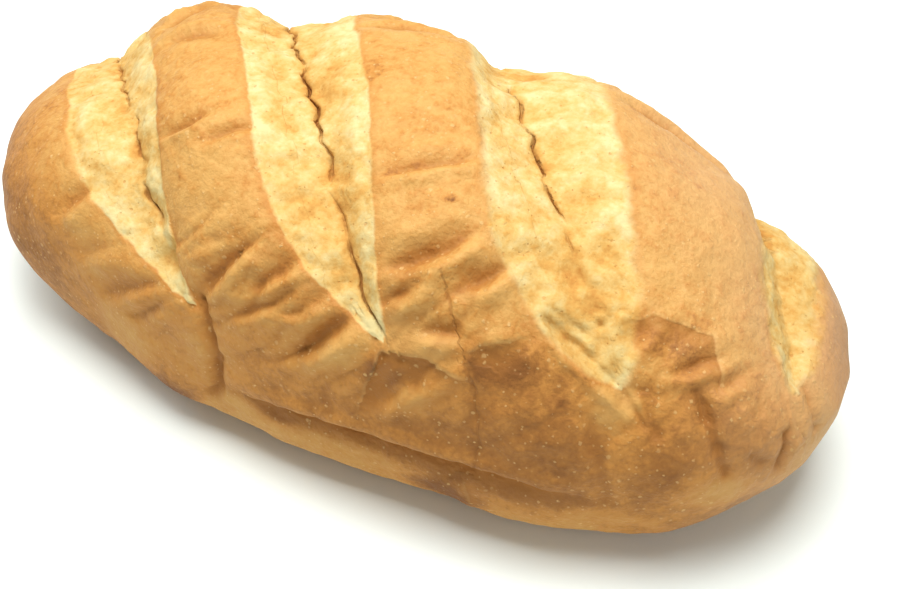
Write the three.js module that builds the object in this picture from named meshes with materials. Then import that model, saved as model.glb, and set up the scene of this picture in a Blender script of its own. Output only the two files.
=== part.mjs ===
// An oval loaf of white bread, baked on its flat base and cut four times across the crown.
// Millimetres: +X along the loaf, -Y the front, +Z up, origin under the middle of the base.
// The surface is a sphere's grid laid over the loaf. A place on it is a station, x + y on the
// plain form, so that the slanting cuts lie along lines of one station, and a turn in degrees
// round the loaf: 0 on the crown, 90 at the front, -90 at the back and 180 underneath.
import * as THREE from "three";
import { mergeVertices } from "three/addons/utils/BufferGeometryUtils.js";

// Overall size of the baked loaf
const LENGTH = 294;
const WIDTH = 144;
const HEIGHT = 106;

// Plain form of the dough, before it opens along the cuts
const BODY = {
  halfLength: 145,
  halfWidth: 71.5,
  height: 106,
  planPower: 2.11, // fullness of the outline from above
  crownPower: 2.32, // fullness of the section over the belly
  footPower: 3.6, // squareness of the section under it
  belly: 0.3, // height of the widest level at mid length, as a share of the height
  endRise: 0.11, // how much higher that level lies at the ends
  crownFall: 1.6, // how the crown comes down to the ends
  footRise: 0.63, // how the foot comes up to the ends
  footSink: 1.06, // a foot this deep, cut off flat, gives the base
  taper: 0.03, // the +X half is this much wider
};

// Each cut opened into a pale band with a crack along it. Widths and depth are at the crown.
// Leans and the bow shift the crack along the loaf by its tips, a tilt makes a width grow or
// shrink towards the front, and the hollow reaches over that share of a width.
const CUTS = [
  {
    crack: -109, backLean: 12, frontLean: -9, bow: 20, backTip: 82, frontTip: 67,
    depth: 7.8, splitFrom: -0.9, splitTo: 0.61,
    left: { width: 22, tilt: -0.2, hollow: 1, shoulder: 1.4 },
    right: { width: 15, tilt: -0.85, hollow: 1.3, shoulder: 1.4 },
  },
  {
    crack: -33, backLean: 22, frontLean: -20, bow: 22, backTip: 88, frontTip: 61,
    depth: 8, splitFrom: -0.9, splitTo: 0.95,
    left: { width: 23.5, tilt: 0.1, hollow: 0.95, shoulder: 1.8 },
    right: { width: 22, tilt: -0.55, hollow: 0.9, shoulder: 1.4 },
  },
  {
    crack: 51, backLean: 20, frontLean: -18, bow: 15.5, backTip: 84, frontTip: 62,
    depth: 7.4, splitFrom: -0.86, splitTo: 0.52,
    left: { width: 21, tilt: 0.85, hollow: 0.9, shoulder: 2.2 },
    right: { width: 28.5, tilt: -0.38, hollow: 0.75, shoulder: 1.3 },
  },
  {
    crack: 138, backLean: 8, frontLean: -9, bow: -12, backTip: 78, frontTip: 62,
    depth: 6.8, splitFrom: -0.77, splitTo: 0.55,
    left: { width: 6, tilt: 2.6, hollow: 1.3, shoulder: 1.6 },
    right: { width: 16, tilt: -0.5, hollow: 0.65, shoulder: 1.2 },
  },
];
const OPENING = {
  narrowest: 0.25, // a tilted width keeps at least this share of itself
  widest: 1.3, // and has at most this share at the back
  outermost: 157, // no band's edge lies further out
  shoulder: 2.5, // added to a width, so that a band's tip still has round shoulders
  steepness: 1.3, // how fast the hollow of a cut dies away from its crack
  closing: 0.2, // the lip is gone when the band is open by less than this
};
const LIP = { drop: 0.5, from: -0.4, to: 0.8 }; // the crust's edge over the band, and its slope
const CRACK = {
  depth: 2.2, halfWidth: 2.2, fade: 0.14, // the fade is at both ends of the split
  wander: 1, wanderRate: 9, jitter: 0.6, jitterRate: 23, // how it strays, in millimetres and waves a turn
};

// Broad swellings: where, how far they spread and how high they stand
const SWELLS = [
  { at: [-157, 108], spread: 32, height: 7.5 },
  { at: [-140, -50], spread: 30, height: 1.7 },
  { at: [-62, -48], spread: 26, height: 4.3 },
  { at: [18, -45], spread: 28, height: 1.9 },
  { at: [98, -38], spread: 34, height: 4.1 },
  { at: [155, 30], spread: 36, height: 3.2 },
  { at: [68, 116], spread: 38, height: 4.2 },
  { at: [-30, 118], spread: 36, height: -0.7 },
  { at: [-106, 120], spread: 14, height: 3.4 },
  { at: [90, 10], spread: 34, height: 1.3 },
  { at: [61, 84], spread: 13, height: 2.4 },
  { at: [39, 44], spread: 8, height: 1.6 },
  { at: [18, 78], spread: 18, height: 1.6 },
  { at: [86, 68], spread: 12, height: 1.4 },
  { at: [100, 84], spread: 10, height: 1.2 },
  { at: [116, 72], spread: 10, height: 1.2 },
  { at: [-155, 0], spread: 22, height: -1.2 },
  { at: [-128, -42], spread: 22, height: -1 },
  { at: [-66, -42], spread: 12, height: -1.5 },
  { at: [-42, -43], spread: 14, height: 1.3 },
  { at: [22, -34], spread: 17, height: -1.4 },
  { at: [46, -29], spread: 9, height: 1.6 },
  { at: [66, -32], spread: 10, height: -1 },
  { at: [118, -20], spread: 24, height: -1.6 },
  { at: [152, 2], spread: 14, height: 0.7 },
  { at: [149, 46], spread: 20, height: -2 },
  { at: [67, 114], spread: 11, height: 2 },
  { at: [12, 112], spread: 20, height: 2.6 },
  { at: [-121, 115], spread: 15, height: 2 },
  { at: [-76, 115], spread: 13, height: 0.7 },
  { at: [103, 110], spread: 9, height: -1 },
  { at: [-156, 78], spread: 16, height: 1 },
];

// Folds of the crust: a furrow of a depth and width, with a roll as high as lift beside it,
// on the right of the way from one end to the other. Sag bends the furrow, in degrees of turn.
const FOLDS = [
  { from: [-96, 61], to: [-71, 43], sag: -1.5, depth: 2.6, width: 3.4, lift: 2 },
  { from: [-77, 54.5], to: [-56, 45], sag: 0.5, depth: 2.4, width: 3, lift: 1.8 },
  { from: [-82, 62], to: [-57, 49.5], sag: 0.5, depth: 2, width: 2.8, lift: 1.4 },
  { from: [-69, 59], to: [-47, 51], sag: 0.5, depth: 2, width: 2.8, lift: 1.4 },
  { from: [-67, 69.5], to: [-44, 56], sag: 0, depth: 3, width: 3.4, lift: 2.4 },
  { from: [-29, 44.5], to: [9, 33], sag: 1, depth: 3.2, width: 3.4, lift: 2.4 },
  { from: [-31, 51], to: [-11, 43], sag: 0.5, depth: 2.6, width: 3, lift: 1.8 },
  { from: [-1, 45], to: [17, 38.5], sag: 0.5, depth: 3, width: 3.2, lift: 2 },
  { from: [-21, 56], to: [-4, 55], sag: -1, depth: 2.4, width: 3, lift: 1.4 },
  { from: [-21, 24], to: [20, 15.5], sag: 0.5, depth: 2.4, width: 2.5, lift: 1.4 },
  { from: [-99, 16.5], to: [-74, 10], sag: 1.5, depth: 1.9, width: 2.5, lift: 1 },
  { from: [-80, 19.5], to: [-61, 14.5], sag: 0, depth: 1.9, width: 2.5, lift: 1.1 },
  { from: [-140, 45], to: [-127, 32], sag: 0, depth: 1.4, width: 4, lift: 1.4 },
  { from: [-124, 70], to: [-110, 59.5], sag: 0, depth: 1.8, width: 3, lift: 1.2 },
  { from: [-136, 62], to: [-124, 52], sag: 0, depth: 1, width: 3.6, lift: 0.8 },
  { from: [-123, 81], to: [-109, 64], sag: 0, depth: 1.6, width: 3, lift: 1.2 },
  { from: [-133, 80], to: [-121, 67], sag: 0, depth: 1, width: 3.6, lift: 0.8 },
  { from: [51, 53.5], to: [62, 45], sag: -0.5, depth: 2.5, width: 2.6, lift: 1.5 },
  { from: [66, 55.5], to: [86, 50], sag: 0.5, depth: 1.9, width: 2.4, lift: 1.6 },
  { from: [83, 58], to: [96, 53.5], sag: 0, depth: 1.5, width: 2.2, lift: 1.2 },
  { from: [-43, 77], to: [-18, 63], sag: 0, depth: 1.6, width: 2.7, lift: 1.9 },
  { from: [26, 48.5], to: [49, 64.5], sag: 0, depth: 1.9, width: 2.2, lift: 1.6 },
  { from: [28, 92], to: [-90, 92], sag: -4, depth: 4.2, width: 2.9, lift: 1.7 },
  { from: [-85, -94], to: [60, -96], sag: 4, depth: 2.2, width: 3, lift: 1.1 },
];
// Section of a fold, in widths of its furrow: the wall under it, the easier slope above it, the
// roll below and a slight brow above
const FOLD = {
  wall: 0.7, slope: 1.6, power: 1.3,
  rollAt: 1.7, rollSpread: 1.2, brow: 0.3, browAt: 3, browSpread: 1.8,
};

// Creases that run on from the tips of the cuts, dents, and a crack down the front
const CREASES = [
  { from: [-97, 63], to: [-98, 108], sag: 2, depth: 3.6, width: 2.6 },
  { from: [48, 60.5], to: [54, 69], sag: 0, depth: 1.3, width: 2 },
  { from: [34, 68], to: [38, 92], sag: 0, depth: 1.3, width: 2.8 },
  { from: [56, 62], to: [57.5, 71], sag: 0, depth: 1.4, width: 2 },
  { from: [122, 60], to: [126, 82], sag: 0, depth: 1.6, width: 2.4 },
  { from: [53, 60], to: [58, 60], sag: 0, depth: 1.6, width: 2.4 },
  { from: [75, 59], to: [76.5, 66], sag: 0, depth: 1.6, width: 2.2 },
  { from: [77, 62], to: [82, 86], sag: 0, depth: 2.4, width: 2.4 },
  { from: [93, 80], to: [97.5, 85], sag: 0, depth: 1.6, width: 2.4 },
  { from: [109, 74], to: [106, 93], sag: 0, depth: 2.2, width: 2.3 },
  { from: [27, 48], to: [30, 49], sag: 0, depth: 1.8, width: 2 },
  { from: [36, 50.5], to: [46, 49.5], sag: 0, depth: 0.8, width: 2 },
  { from: [43, 46], to: [47, 47.5], sag: 0, depth: 0.9, width: 1.8 },
  { from: [-5.5, 45], to: [-7, 91], sag: 0, depth: 0.7, width: 1.6 },
];
const CREASE_POWER = 1.5; // sharpness of a crease's section

// Ledges: edges of crust that stand proud on the left of the way along them
const LEDGES = [
  { height: 2, edge: [[-47, 80], [-34, 61.5], [-20, 60.5], [-5, 63.5]] },
  { height: 2.3, edge: [[-4, 57.5], [6, 54.5], [17, 52.5]] },
  { height: 0.4, edge: [[57, 45], [66, 42.5], [74, 43.5], [86, 44.5], [84, 58]] },
  { height: 1.6, edge: [[-90, 92.5], [-60, 89.8], [-31, 88.6], [0, 89.8], [28, 92]] },
  { height: 1.2, edge: [[-2, 112], [-10, 96]] },
  { height: 1.4, edge: [[-60, -96], [-20, -97], [30, -95]] },
  { height: 0.8, edge: [[-40, -30], [-28, -46], [-8, -47]] },
  { height: 0.8, edge: [[70, -52], [84, -40], [100, -44]] },
];
const LEDGE = { edge: 0.8, run: 9 }; // half width of the step, and how fast the crust falls back behind it
const LINE_END = 0.02; // folds and ledges fade to what is left at this share from an end

// Folds down the back, a few on each land between two cuts; every other land has them lower
const BACK_FOLDS = {
  rows: 3, firstTurn: -24, rowStep: -17, landShift: 0.4, slant: 6, inset: 7,
  depth: 2.2, width: 2.9, lift: 1.5,
};

// Soft lumps all over: a height, and two crossing waves with the length of a radian along each axis
const LUMPS = [
  { height: 0.6, first: { x: 17, z: Infinity, phase: 1.3 }, second: { y: 13, z: 15, phase: 0 } },
  { height: 0.36, first: { x: 9, z: 11, phase: 0 }, second: { y: 8, z: -10, phase: 0.7 } },
];

// Grid of the surface
const AROUND = 84;
const CROWDING = 0.5; // columns crowd together by this share
const CROWDED_TURN = 30; // round this turn
const END_STEPS = 8;
const BAND_STEPS = 3;
const LAND_STEPS = 9;
const LAST_STEPS = 4;
const LEAST_BAND = 7; // rings keep this much room at a band's tip
const EVEN_FROM = 75; // the rings leave the cuts here and lie evenly from EVEN_TO
const EVEN_TO = 130;

const { degToRad, radToDeg, smoothstep, lerp, clamp } = THREE.MathUtils;
const REACH = Math.hypot(BODY.halfLength, BODY.halfWidth);
const POLE = new THREE.Vector3(BODY.halfLength, BODY.halfWidth, 0).normalize();
const FRONT = new THREE.Vector3(BODY.halfWidth, -BODY.halfLength, 0).normalize();
const UP = new THREE.Vector3(0, 0, 1);

// Point of the plain form, and the way out of the loaf there
function plainForm(station, turn) {
  const along = station / REACH;
  const across = Math.sqrt(Math.max(1 - along ** 2, 0));
  const angle = degToRad(turn);
  const way = POLE.clone().multiplyScalar(along);
  way.addScaledVector(UP, across * Math.cos(angle));
  way.addScaledVector(FRONT, across * Math.sin(angle));

  const girth = Math.sqrt(Math.max(1 - way.x ** 2, 1e-12));
  const side = way.y / girth;
  const rise = way.z / girth;
  const outline = (Math.abs(way.x) ** BODY.planPower + girth ** BODY.planPower) ** (-1 / BODY.planPower);
  const lengthwise = outline * way.x;
  const share = outline * girth;
  const power = rise > 0 ? BODY.crownPower : BODY.footPower;
  const section = (Math.abs(side) ** power + Math.abs(rise) ** power) ** (-1 / power);

  const endLevel = BODY.height * (BODY.belly + BODY.endRise);
  const belly = BODY.height * (BODY.belly + BODY.endRise * lengthwise ** 2);
  const crown = endLevel + (BODY.height - endLevel) * share ** BODY.crownFall;
  const foot = endLevel * (1 - BODY.footSink * share ** BODY.footRise);
  const point = new THREE.Vector3(
    BODY.halfLength * lengthwise,
    BODY.halfWidth * share * section * side * (1 + BODY.taper * lengthwise),
    belly + section * rise * (rise > 0 ? crown - belly : belly - foot),
  );
  const depth = rise > 0 ? BODY.height - belly : belly;
  const outward = new THREE.Vector3(
    point.x / BODY.halfLength ** 2,
    point.y / BODY.halfWidth ** 2,
    (point.z - belly) / depth ** 2,
  );
  return { point, outward: outward.normalize() };
}

// Where a cut's crack and the edges of its band lie at one turn
function bandAt(cut, turn) {
  const reach = turn > 0 ? turn / cut.frontTip : turn / cut.backTip;
  const t = clamp(reach, -1, 1);
  const open = 1 - t ** 4;
  const most = t < 0 ? OPENING.widest : Infinity;
  const width = (half) => half.width * open * clamp(1 + half.tilt * t, OPENING.narrowest, most);
  const lean = t > 0 ? cut.frontLean * t + cut.bow * t ** 3 : -cut.backLean * t;
  const crack = cut.crack + lean;
  const right = Math.min(width(cut.right), OPENING.outermost - crack);
  return { reach, open, crack, left: width(cut.left), right };
}

// How far the crack strays from the middle line of its band
function straying(cut, turn) {
  const slow = CRACK.wander * Math.sin(degToRad(CRACK.wanderRate * turn) + cut.crack);
  return slow + CRACK.jitter * Math.sin(degToRad(CRACK.jitterRate * turn) + 2 * cut.crack);
}

// Hollow of a cut, the crust's lip over its band and the crack
function cutRelief(cut, station, turn) {
  const band = bandAt(cut, turn);
  const offset = station - band.crack;
  const half = offset < 0 ? cut.left : cut.right;
  const width = offset < 0 ? band.left : band.right;
  const reach = width * half.hollow + OPENING.shoulder;
  const hollow = Math.exp(-OPENING.steepness * (Math.abs(offset) / reach) ** half.shoulder);
  const opened = smoothstep(band.open, 0, OPENING.closing);
  const inside = smoothstep(width - Math.abs(offset), LIP.from, LIP.to) * opened;
  const begun = smoothstep(band.reach, cut.splitFrom - CRACK.fade, cut.splitFrom + CRACK.fade);
  const ended = smoothstep(band.reach, cut.splitTo - CRACK.fade, cut.splitTo + CRACK.fade);
  const groove = Math.max(1 - Math.abs(offset - straying(cut, turn)) / CRACK.halfWidth, 0);
  return -cut.depth * band.open * hollow - LIP.drop * inside - CRACK.depth * begun * (1 - ended) * groove;
}

// Places on a line bent by its sag
const LINE_STEPS = 8;
function bentLine({ from, to, sag }) {
  return Array.from({ length: LINE_STEPS + 1 }, (_, i) => {
    const t = i / LINE_STEPS;
    return [lerp(from[0], to[0], t), lerp(from[1], to[1], t) + 4 * sag * t * (1 - t)];
  });
}

// Distance from a line, plus on its right and minus on its left, and the share of the line passed
function measure(line, point, outward) {
  const piece = new THREE.Line3();
  const foot = new THREE.Vector3();
  const best = { distance: Infinity, aside: 0, share: 0 };
  for (let i = 0; i + 1 < line.length; i++) {
    piece.set(line[i], line[i + 1]);
    const t = piece.closestPointToPointParameter(point, true);
    const gap = point.clone().sub(piece.at(t, foot));
    if (gap.length() >= best.distance) continue;
    const right = piece.delta(new THREE.Vector3()).cross(outward);
    best.distance = gap.length();
    best.aside = best.distance * (gap.dot(right) > 0 ? 1 : -1);
    best.share = (i + t) / (line.length - 1);
  }
  return best;
}

const bell = (x) => Math.exp(-(x ** 2));
const fading = (share) => Math.sqrt(Math.sin(Math.PI * clamp(share, LINE_END, 1 - LINE_END)));

function foldRelief(fold, point, outward) {
  const { distance, aside, share } = measure(fold.line, point, outward);
  const spread = fold.width * (aside > 0 ? FOLD.wall : FOLD.slope);
  const furrow = Math.exp(-((distance / spread) ** FOLD.power));
  const across = aside / fold.width;
  const roll = bell((across - FOLD.rollAt) / FOLD.rollSpread);
  const brow = FOLD.brow * bell((across + FOLD.browAt) / FOLD.browSpread);
  return fading(share) * (fold.lift * (roll + brow) - fold.depth * furrow);
}

function creaseRelief(crease, point, outward) {
  const { distance } = measure(crease.line, point, outward);
  return -crease.depth * Math.exp(-((distance / crease.width) ** CREASE_POWER));
}

function ledgeRelief(ledge, point, outward) {
  const { aside, share } = measure(ledge.line, point, outward);
  const proud = 1 - smoothstep(aside, -LEDGE.edge, LEDGE.edge);
  return ledge.height * fading(share) * proud * Math.exp(Math.min(aside, 0) / LEDGE.run);
}

function lumpRelief({ x, y, z }) {
  const waves = LUMPS.map(({ height, first, second }) => {
    const along = Math.sin(x / first.x + z / first.z + first.phase);
    return height * along * Math.sin(y / second.y + z / second.z + second.phase);
  });
  return waves.reduce((sum, wave) => sum + wave, 0);
}

// Folds of the back, worked out from the lands between the cuts
function backFolds() {
  const { depth, width, lift } = BACK_FOLDS;
  const folds = [];
  for (let land = 0; land + 1 < CUTS.length; land++) {
    for (let row = 0; row < BACK_FOLDS.rows; row++) {
      const turn = BACK_FOLDS.firstTurn + BACK_FOLDS.rowStep * (row + BACK_FOLDS.landShift * (land % 2));
      const before = bandAt(CUTS[land], turn);
      const after = bandAt(CUTS[land + 1], turn);
      const slant = BACK_FOLDS.slant * (row % 2);
      folds.push({
        from: [after.crack - after.left - BACK_FOLDS.inset, turn - slant],
        to: [before.crack + before.right + BACK_FOLDS.inset, turn + slant],
        sag: row - 1,
        depth,
        width,
        lift,
      });
    }
  }
  return folds;
}

const onForm = (places) => places.map((place) => plainForm(...place).point);
const withLine = (feature) => ({ ...feature, line: onForm(feature.edge ?? bentLine(feature)) });
const folds = [...FOLDS, ...backFolds()].map(withLine);
const creases = CREASES.map(withLine);
const ledges = LEDGES.map(withLine);
const swells = SWELLS.map((swell) => ({ ...swell, centre: plainForm(...swell.at).point }));

// Point of the baked loaf
function loafPoint(station, turn) {
  const { point, outward } = plainForm(station, turn);
  let relief = lumpRelief(point);
  for (const cut of CUTS) relief += cutRelief(cut, station, turn);
  for (const swell of swells) relief += swell.height * bell(point.distanceTo(swell.centre) / swell.spread);
  for (const fold of folds) relief += foldRelief(fold, point, outward);
  for (const crease of creases) relief += creaseRelief(crease, point, outward);
  for (const ledge of ledges) relief += ledgeRelief(ledge, point, outward);
  point.addScaledVector(outward, relief);
  point.z = Math.max(point.z, 0);
  return point;
}

// Stations of the rings at one turn: they follow the cuts over the crown and are even underneath
function ringStations(turn) {
  const stops = [];
  const walk = (to, steps) => {
    const from = stops[stops.length - 1];
    for (let i = 1; i <= steps; i++) stops.push(lerp(from, to, i / steps));
  };
  const endwise = (from, to, steps) => {
    for (let i = 1; i <= steps; i++) stops.push(Math.sin(lerp(from, to, i / steps)) * REACH);
  };
  const latitude = (station) => Math.asin(clamp(station / REACH, -1, 1));
  stops.push(-REACH);
  CUTS.forEach((cut, i) => {
    const band = bandAt(cut, turn);
    const leftEdge = band.crack - Math.max(band.left, LEAST_BAND);
    if (i === 0) endwise(-Math.PI / 2, latitude(leftEdge), END_STEPS);
    else walk(leftEdge, LAND_STEPS);
    const middle = band.crack + straying(cut, turn);
    walk(middle - CRACK.halfWidth, BAND_STEPS);
    walk(middle, 1);
    walk(middle + CRACK.halfWidth, 1);
    walk(band.crack + Math.max(band.right, LEAST_BAND), BAND_STEPS);
  });
  endwise(latitude(stops[stops.length - 1]), Math.PI / 2, LAST_STEPS);
  const even = smoothstep(Math.abs(turn), EVEN_FROM, EVEN_TO);
  const rings = stops.length - 1;
  return stops.map((stop, i) => lerp(stop, Math.sin(Math.PI * (i / rings - 0.5)) * REACH, even));
}

function columnTurn(column) {
  const angle = (column / AROUND) * 2 * Math.PI;
  const shift = degToRad(CROWDED_TURN);
  return 180 - radToDeg(angle + CROWDING * (Math.sin(angle + shift) - Math.sin(shift)));
}

function loafGeometry() {
  const columns = Array.from({ length: AROUND }, (_, column) => ringStations(columnTurn(column)));
  const rings = columns[0].length - 1;
  const geometry = new THREE.SphereGeometry(1, AROUND, rings);
  const { position } = geometry.attributes;
  for (let i = 0; i < position.count; i++) {
    const column = (i % (AROUND + 1)) % AROUND; // each ring ends where it began
    const ring = Math.floor(i / (AROUND + 1));
    const atPole = ring === 0 || ring === rings;
    const point = loafPoint(columns[column][ring], atPole ? 0 : columnTurn(column));
    position.setXYZ(i, point.x, point.y, point.z);
  }
  geometry.deleteAttribute("normal");
  geometry.deleteAttribute("uv");
  return mergeVertices(geometry);
}

// Brings a geometry to the overall size, with the origin under the middle of its base
function fitToSize(geometry) {
  geometry.computeBoundingBox();
  const box = geometry.boundingBox;
  const size = box.getSize(new THREE.Vector3());
  const middle = box.getCenter(new THREE.Vector3());
  geometry.translate(-middle.x, -middle.y, -box.min.z);
  return geometry.scale(LENGTH / size.x, WIDTH / size.y, HEIGHT / size.z);
}

const crust = new THREE.MeshStandardMaterial({ color: 0xc98b47, roughness: 0.75, metalness: 0 });
const loaf = new THREE.Mesh(fitToSize(loafGeometry()), crust);
loaf.name = "loaf";

const part = new THREE.Group();
part.add(loaf);
export default part;
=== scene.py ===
# An oval loaf of white bread with four opened cuts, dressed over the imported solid.
# The loaf is worked out in millimetres by the solid's own rule, on a finer grid, and brought
# to the solid's box in metres. A place on it is a station along the loaf, x + y on the plain
# form, and a turn round it in degrees: 0 crown, 90 front, -90 back, 180 underneath.
import math
from functools import reduce
from operator import add
from types import SimpleNamespace

import bpy
import numpy as np
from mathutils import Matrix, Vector, noise


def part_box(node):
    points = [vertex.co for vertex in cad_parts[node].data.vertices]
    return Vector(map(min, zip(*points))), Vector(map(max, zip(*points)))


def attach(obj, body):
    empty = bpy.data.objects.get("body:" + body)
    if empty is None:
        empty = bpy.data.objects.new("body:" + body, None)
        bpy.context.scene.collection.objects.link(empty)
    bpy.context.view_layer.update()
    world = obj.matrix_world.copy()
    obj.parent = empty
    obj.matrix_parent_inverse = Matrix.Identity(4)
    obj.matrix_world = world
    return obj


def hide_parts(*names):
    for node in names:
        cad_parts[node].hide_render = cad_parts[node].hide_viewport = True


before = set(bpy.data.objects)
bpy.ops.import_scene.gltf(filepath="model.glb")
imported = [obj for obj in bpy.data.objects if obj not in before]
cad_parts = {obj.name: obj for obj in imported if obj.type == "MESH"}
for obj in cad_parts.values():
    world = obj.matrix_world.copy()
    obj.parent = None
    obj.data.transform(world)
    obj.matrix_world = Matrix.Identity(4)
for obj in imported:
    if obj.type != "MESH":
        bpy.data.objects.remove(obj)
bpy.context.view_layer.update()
print("frame loaded")

dough = {  # plain form, before it opens along the cuts
    "halfLength": 145.0, "halfWidth": 71.5, "height": 106.0,
    "planPower": 2.11,  # fullness of the outline from above
    "crownPower": 2.32,  # fullness of the section over the belly
    "footPower": 3.6,  # squareness under it
    "belly": 0.3, "endRise": 0.11,  # widest level, and how it lifts at the ends
    "crownFall": 1.6, "footRise": 0.63, "footSink": 1.06,
    "taper": 0.03,
}
reach = math.hypot(dough["halfLength"], dough["halfWidth"])
poleX, poleY = dough["halfLength"] / reach, dough["halfWidth"] / reach


def smooth(value, low, high):
    t = np.clip((value - low) / (high - low), 0, 1)
    return t * t * (3 - 2 * t)


def bell(value):
    return np.exp(-np.square(value))


def noiseAt(point, size, octaves=1):  # seeded by place alone, about -1 to 1
    places = (point / size).tolist()
    if octaves == 1:
        return np.array([noise.noise(p) for p in places])
    return np.array([noise.fractal(p, 1.0, 2.0, octaves) for p in places])


def plainForm(station, turn):  # points of the plain form, and the way out there
    along = np.asarray(station, float) / reach
    across = np.sqrt(np.maximum(1 - along ** 2, 0))
    angle = np.radians(turn)
    wayX = poleX * along + poleY * across * np.sin(angle)
    wayY = poleY * along - poleX * across * np.sin(angle)
    wayZ = across * np.cos(angle)
    girth = np.sqrt(np.maximum(1 - wayX ** 2, 1e-12))
    side, rise = wayY / girth, wayZ / girth
    plan = dough["planPower"]
    outline = (np.abs(wayX) ** plan + girth ** plan) ** (-1 / plan)
    lengthwise, share = outline * wayX, outline * girth
    power = np.where(rise > 0, dough["crownPower"], dough["footPower"])
    section = (np.abs(side) ** power + np.abs(rise) ** power) ** (-1 / power)

    endLevel = dough["height"] * (dough["belly"] + dough["endRise"])
    belly = dough["height"] * (dough["belly"] + dough["endRise"] * lengthwise ** 2)
    crown = endLevel + (dough["height"] - endLevel) * share ** dough["crownFall"]
    foot = endLevel * (1 - dough["footSink"] * share ** dough["footRise"])
    point = np.stack([
        dough["halfLength"] * lengthwise,
        dough["halfWidth"] * share * section * side * (1 + dough["taper"] * lengthwise),
        belly + section * rise * np.where(rise > 0, crown - belly, belly - foot),
    ], axis=-1)
    depth = np.where(rise > 0, dough["height"] - belly, belly)
    outward = np.stack([
        point[..., 0] / dough["halfLength"] ** 2,
        point[..., 1] / dough["halfWidth"] ** 2,
        (point[..., 2] - belly) / depth ** 2,
    ], axis=-1)
    return point, outward / np.linalg.norm(outward, axis=-1, keepdims=True)


def cut(crack, leans, bow, tips, depth, left, right, splits):
    half = ("width", "tilt", "hollow", "shoulder")
    return {
        "crack": crack, "backLean": leans[0], "frontLean": leans[1], "bow": bow,
        "backTip": tips[0], "frontTip": tips[1], "depth": depth, "splits": splits,
        "left": dict(zip(half, left)), "right": dict(zip(half, right)),
    }


cuts = [  # crack, back and front lean, bow, tips, depth, width tilt hollow shoulder, split stretches
    cut(-109, (12, -9), 20, (82, 67), 7.8, (22, -0.2, 1.0, 1.4), (15, -0.85, 1.3, 1.4),
        [(-74, -48, 2.6), (-44, -4, 1.8), (3, 21, 2.4), (30, 43, 2.8)]),
    cut(-33, (22, -20), 22, (88, 61), 8, (23.5, 0.1, 0.95, 1.8), (22, -0.55, 0.9, 1.4),
        [(-80, -50, 2.4), (-47, -16, 2.6), (-14, 14, 3.6), (13, 25, 2.4), (29, 39, 1.4), (39, 58, 2.6)]),
    cut(51, (20, -18), 15.5, (84, 62), 7.4, (21, 0.85, 0.9, 2.2), (28.5, -0.38, 0.75, 1.3),
        [(-72, -36, 2.6), (-20, -5, 2.2), (-4, 12, 3.4), (14, 23, 3), (27, 32, 2)]),
    cut(138, (8, -9), -12, (78, 62), 6.8, (6, 2.6, 1.3, 1.6), (16, -0.5, 0.65, 1.2),
        [(-60, -32, 2.4), (-24, 6, 1.4)]),
]
opening = {
    "narrowest": 0.25, "widest": 1.3, "outermost": 157.0, "shoulder": 2.5, "steepness": 1.3,
    "openBy": 0.2, "closing": 4.0,  # how a band ends at its tips
    "lip": 0.5, "lipSlope": (-0.8, 1.6),
    "crackHalf": 1.2, "crackDepth": 0.6, "splitOuter": 2.0, "splitInner": 4.0, "fullSplit": 4.0,
    "wander": 1.3, "wanderTurn": 9.0, "wanderLevel": 0.5, "wanderOctaves": 4,
    "jag": 1.9, "jagSteps": (2.0, 5.0), "jagFrom": -200.0, "jagCount": 120,
}


def bandAt(item, turn):  # crack and edges of a cut's band at one turn
    t = np.where(turn > 0, turn / item["frontTip"], turn / item["backTip"])
    held = np.clip(t, -1, 1)
    wide = 1 - held ** 4
    lean = np.where(held > 0, item["frontLean"] * held + item["bow"] * held ** 3, -item["backLean"] * held)
    crack = item["crack"] + lean
    left, right = (halfWidth(item[name], held) * wide for name in ("left", "right"))
    return wide, crack, left, np.minimum(right, opening["outermost"] - crack)


def halfWidth(half, held):  # a tilt makes it grow or shrink towards the front
    backMost = np.where(held < 0, opening["widest"], np.inf)
    return half["width"] * np.clip(1 + half["tilt"] * held, opening["narrowest"], backMost)


def straying(item, turn):  # how far the crack leaves its line, in slow bends and sharp corners
    sampled = np.arange(-180.0, 181.0)
    line = np.full((len(sampled), 3), (0, item["crack"], opening["wanderLevel"]), float)
    line[:, 0] = sampled / opening["wanderTurn"]
    drift = noiseAt(line, 1.0, opening["wanderOctaves"])
    draw = np.random.default_rng(abs(item["crack"]))
    corners = opening["jagFrom"] + np.cumsum(draw.uniform(*opening["jagSteps"], opening["jagCount"]))
    jags = draw.uniform(-1, 1, len(corners))
    bends = opening["wander"] * np.interp(turn, sampled, drift)
    return bends + opening["jag"] * np.interp(turn, corners, jags)


swells = [  # station, turn, spread, height
    (-157, 108, 32, 7.5), (-140, -50, 30, 1.7), (-62, -48, 26, 4.3), (18, -45, 28, 1.9),
    (98, -38, 34, 4.1), (155, 30, 36, 3.2), (68, 116, 38, 4.2), (-30, 118, 36, -0.7),
    (-106, 120, 14, 3.4), (90, 10, 34, 1.3), (61, 84, 13, 2.4), (39, 44, 8, 1.6),
    (18, 78, 18, 1.6), (86, 68, 12, 1.4), (100, 84, 10, 1.2), (116, 72, 10, 1.2),
    (-155, 0, 22, -1.2), (-128, -42, 22, -1.0), (-66, -42, 12, -1.5), (-42, -43, 14, 1.3),
    (22, -34, 17, -1.4), (46, -29, 9, 1.6), (66, -32, 10, -1.0), (118, -20, 24, -1.6),
    (152, 2, 14, 0.7), (149, 46, 20, -2.0), (67, 114, 11, 2.0), (12, 112, 20, 2.6),
    (-121, 115, 15, 2.0), (-76, 115, 13, 0.7), (103, 110, 9, -1.0), (-156, 78, 16, 1.0),
]
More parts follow.
